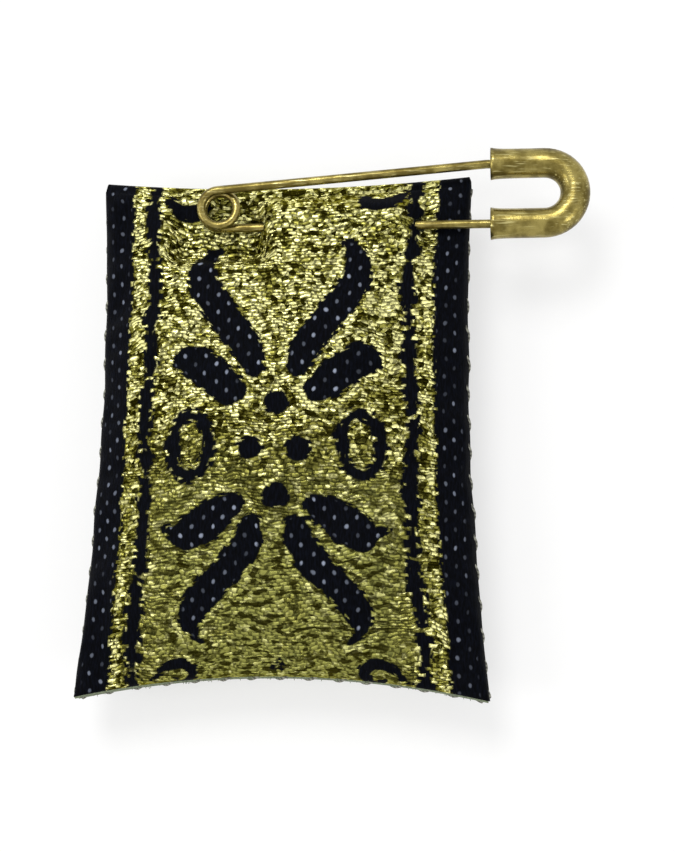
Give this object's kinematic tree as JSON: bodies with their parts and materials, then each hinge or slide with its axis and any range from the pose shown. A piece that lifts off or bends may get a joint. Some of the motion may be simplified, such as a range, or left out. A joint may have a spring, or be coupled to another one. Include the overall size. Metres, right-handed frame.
{
  "type": "fabric amulet",
  "caption": "Small stuffed brocade ribbon pouch folded over a wrapped packet, leaf pattern in front and cross behind, with a brass safety pin through its top edge.",
  "frame": {"origin": "centre of the flat on the back that the amulet rests on", "axes": "+Z out of the leaf-patterned front, +Y along the pouch towards the folded top edge that the pin goes through, +X towards the pin's cap"},
  "size_m": [0.0355, 0.0378, 0.0085],
  "materials": {
    "brocade": "woven gold thread and navy yarn, glittering",
    "seam_thread": "matte grey sewing thread",
    "wadding": "loose cotton",
    "paper": "plain folded paper",
    "dried_plant": "dry and matte",
    "resin": "cloudy resin",
    "pin_brass": "brass, lightly tarnished"
  },
  "bodies": {
    "pouch": {"brocade_ribbon": "brocade", "side_seam_left": "seam_thread", "side_seam_right": "seam_thread", "bottom_seam": "seam_thread", "wadding_front": "wadding", "wadding_back": "wadding", "packet_wrapper": "paper", "dried_blossom": "dried_plant", "incense_grain": "resin"},
    "needle": {"needle_arm": "pin_brass"},
    "coil": {"coil_spring": "pin_brass"},
    "clasp": {"spine_arm": "pin_brass", "clasp_cap": "pin_brass"}
  },
  "joints": [
    {"name": "pin_slide", "type": "slide", "parent": "pouch", "child": "needle", "axis": [1, 0, 0], "range_m": [-0.0008, 0.0008]},
    {"name": "pin_swing", "type": "hinge", "parent": "needle", "child": "coil", "pos_m": [0, 0.01425, 0.0056], "axis": [1, 0, 0], "range_deg": [0, 90]},
    {"name": "pin_open", "type": "hinge", "parent": "coil", "child": "clasp", "pos_m": [-0.00444, 0.01665, 0.0068], "axis": [0, -0.7071, 0.7071], "range_deg": [0, 25]}
  ]
}
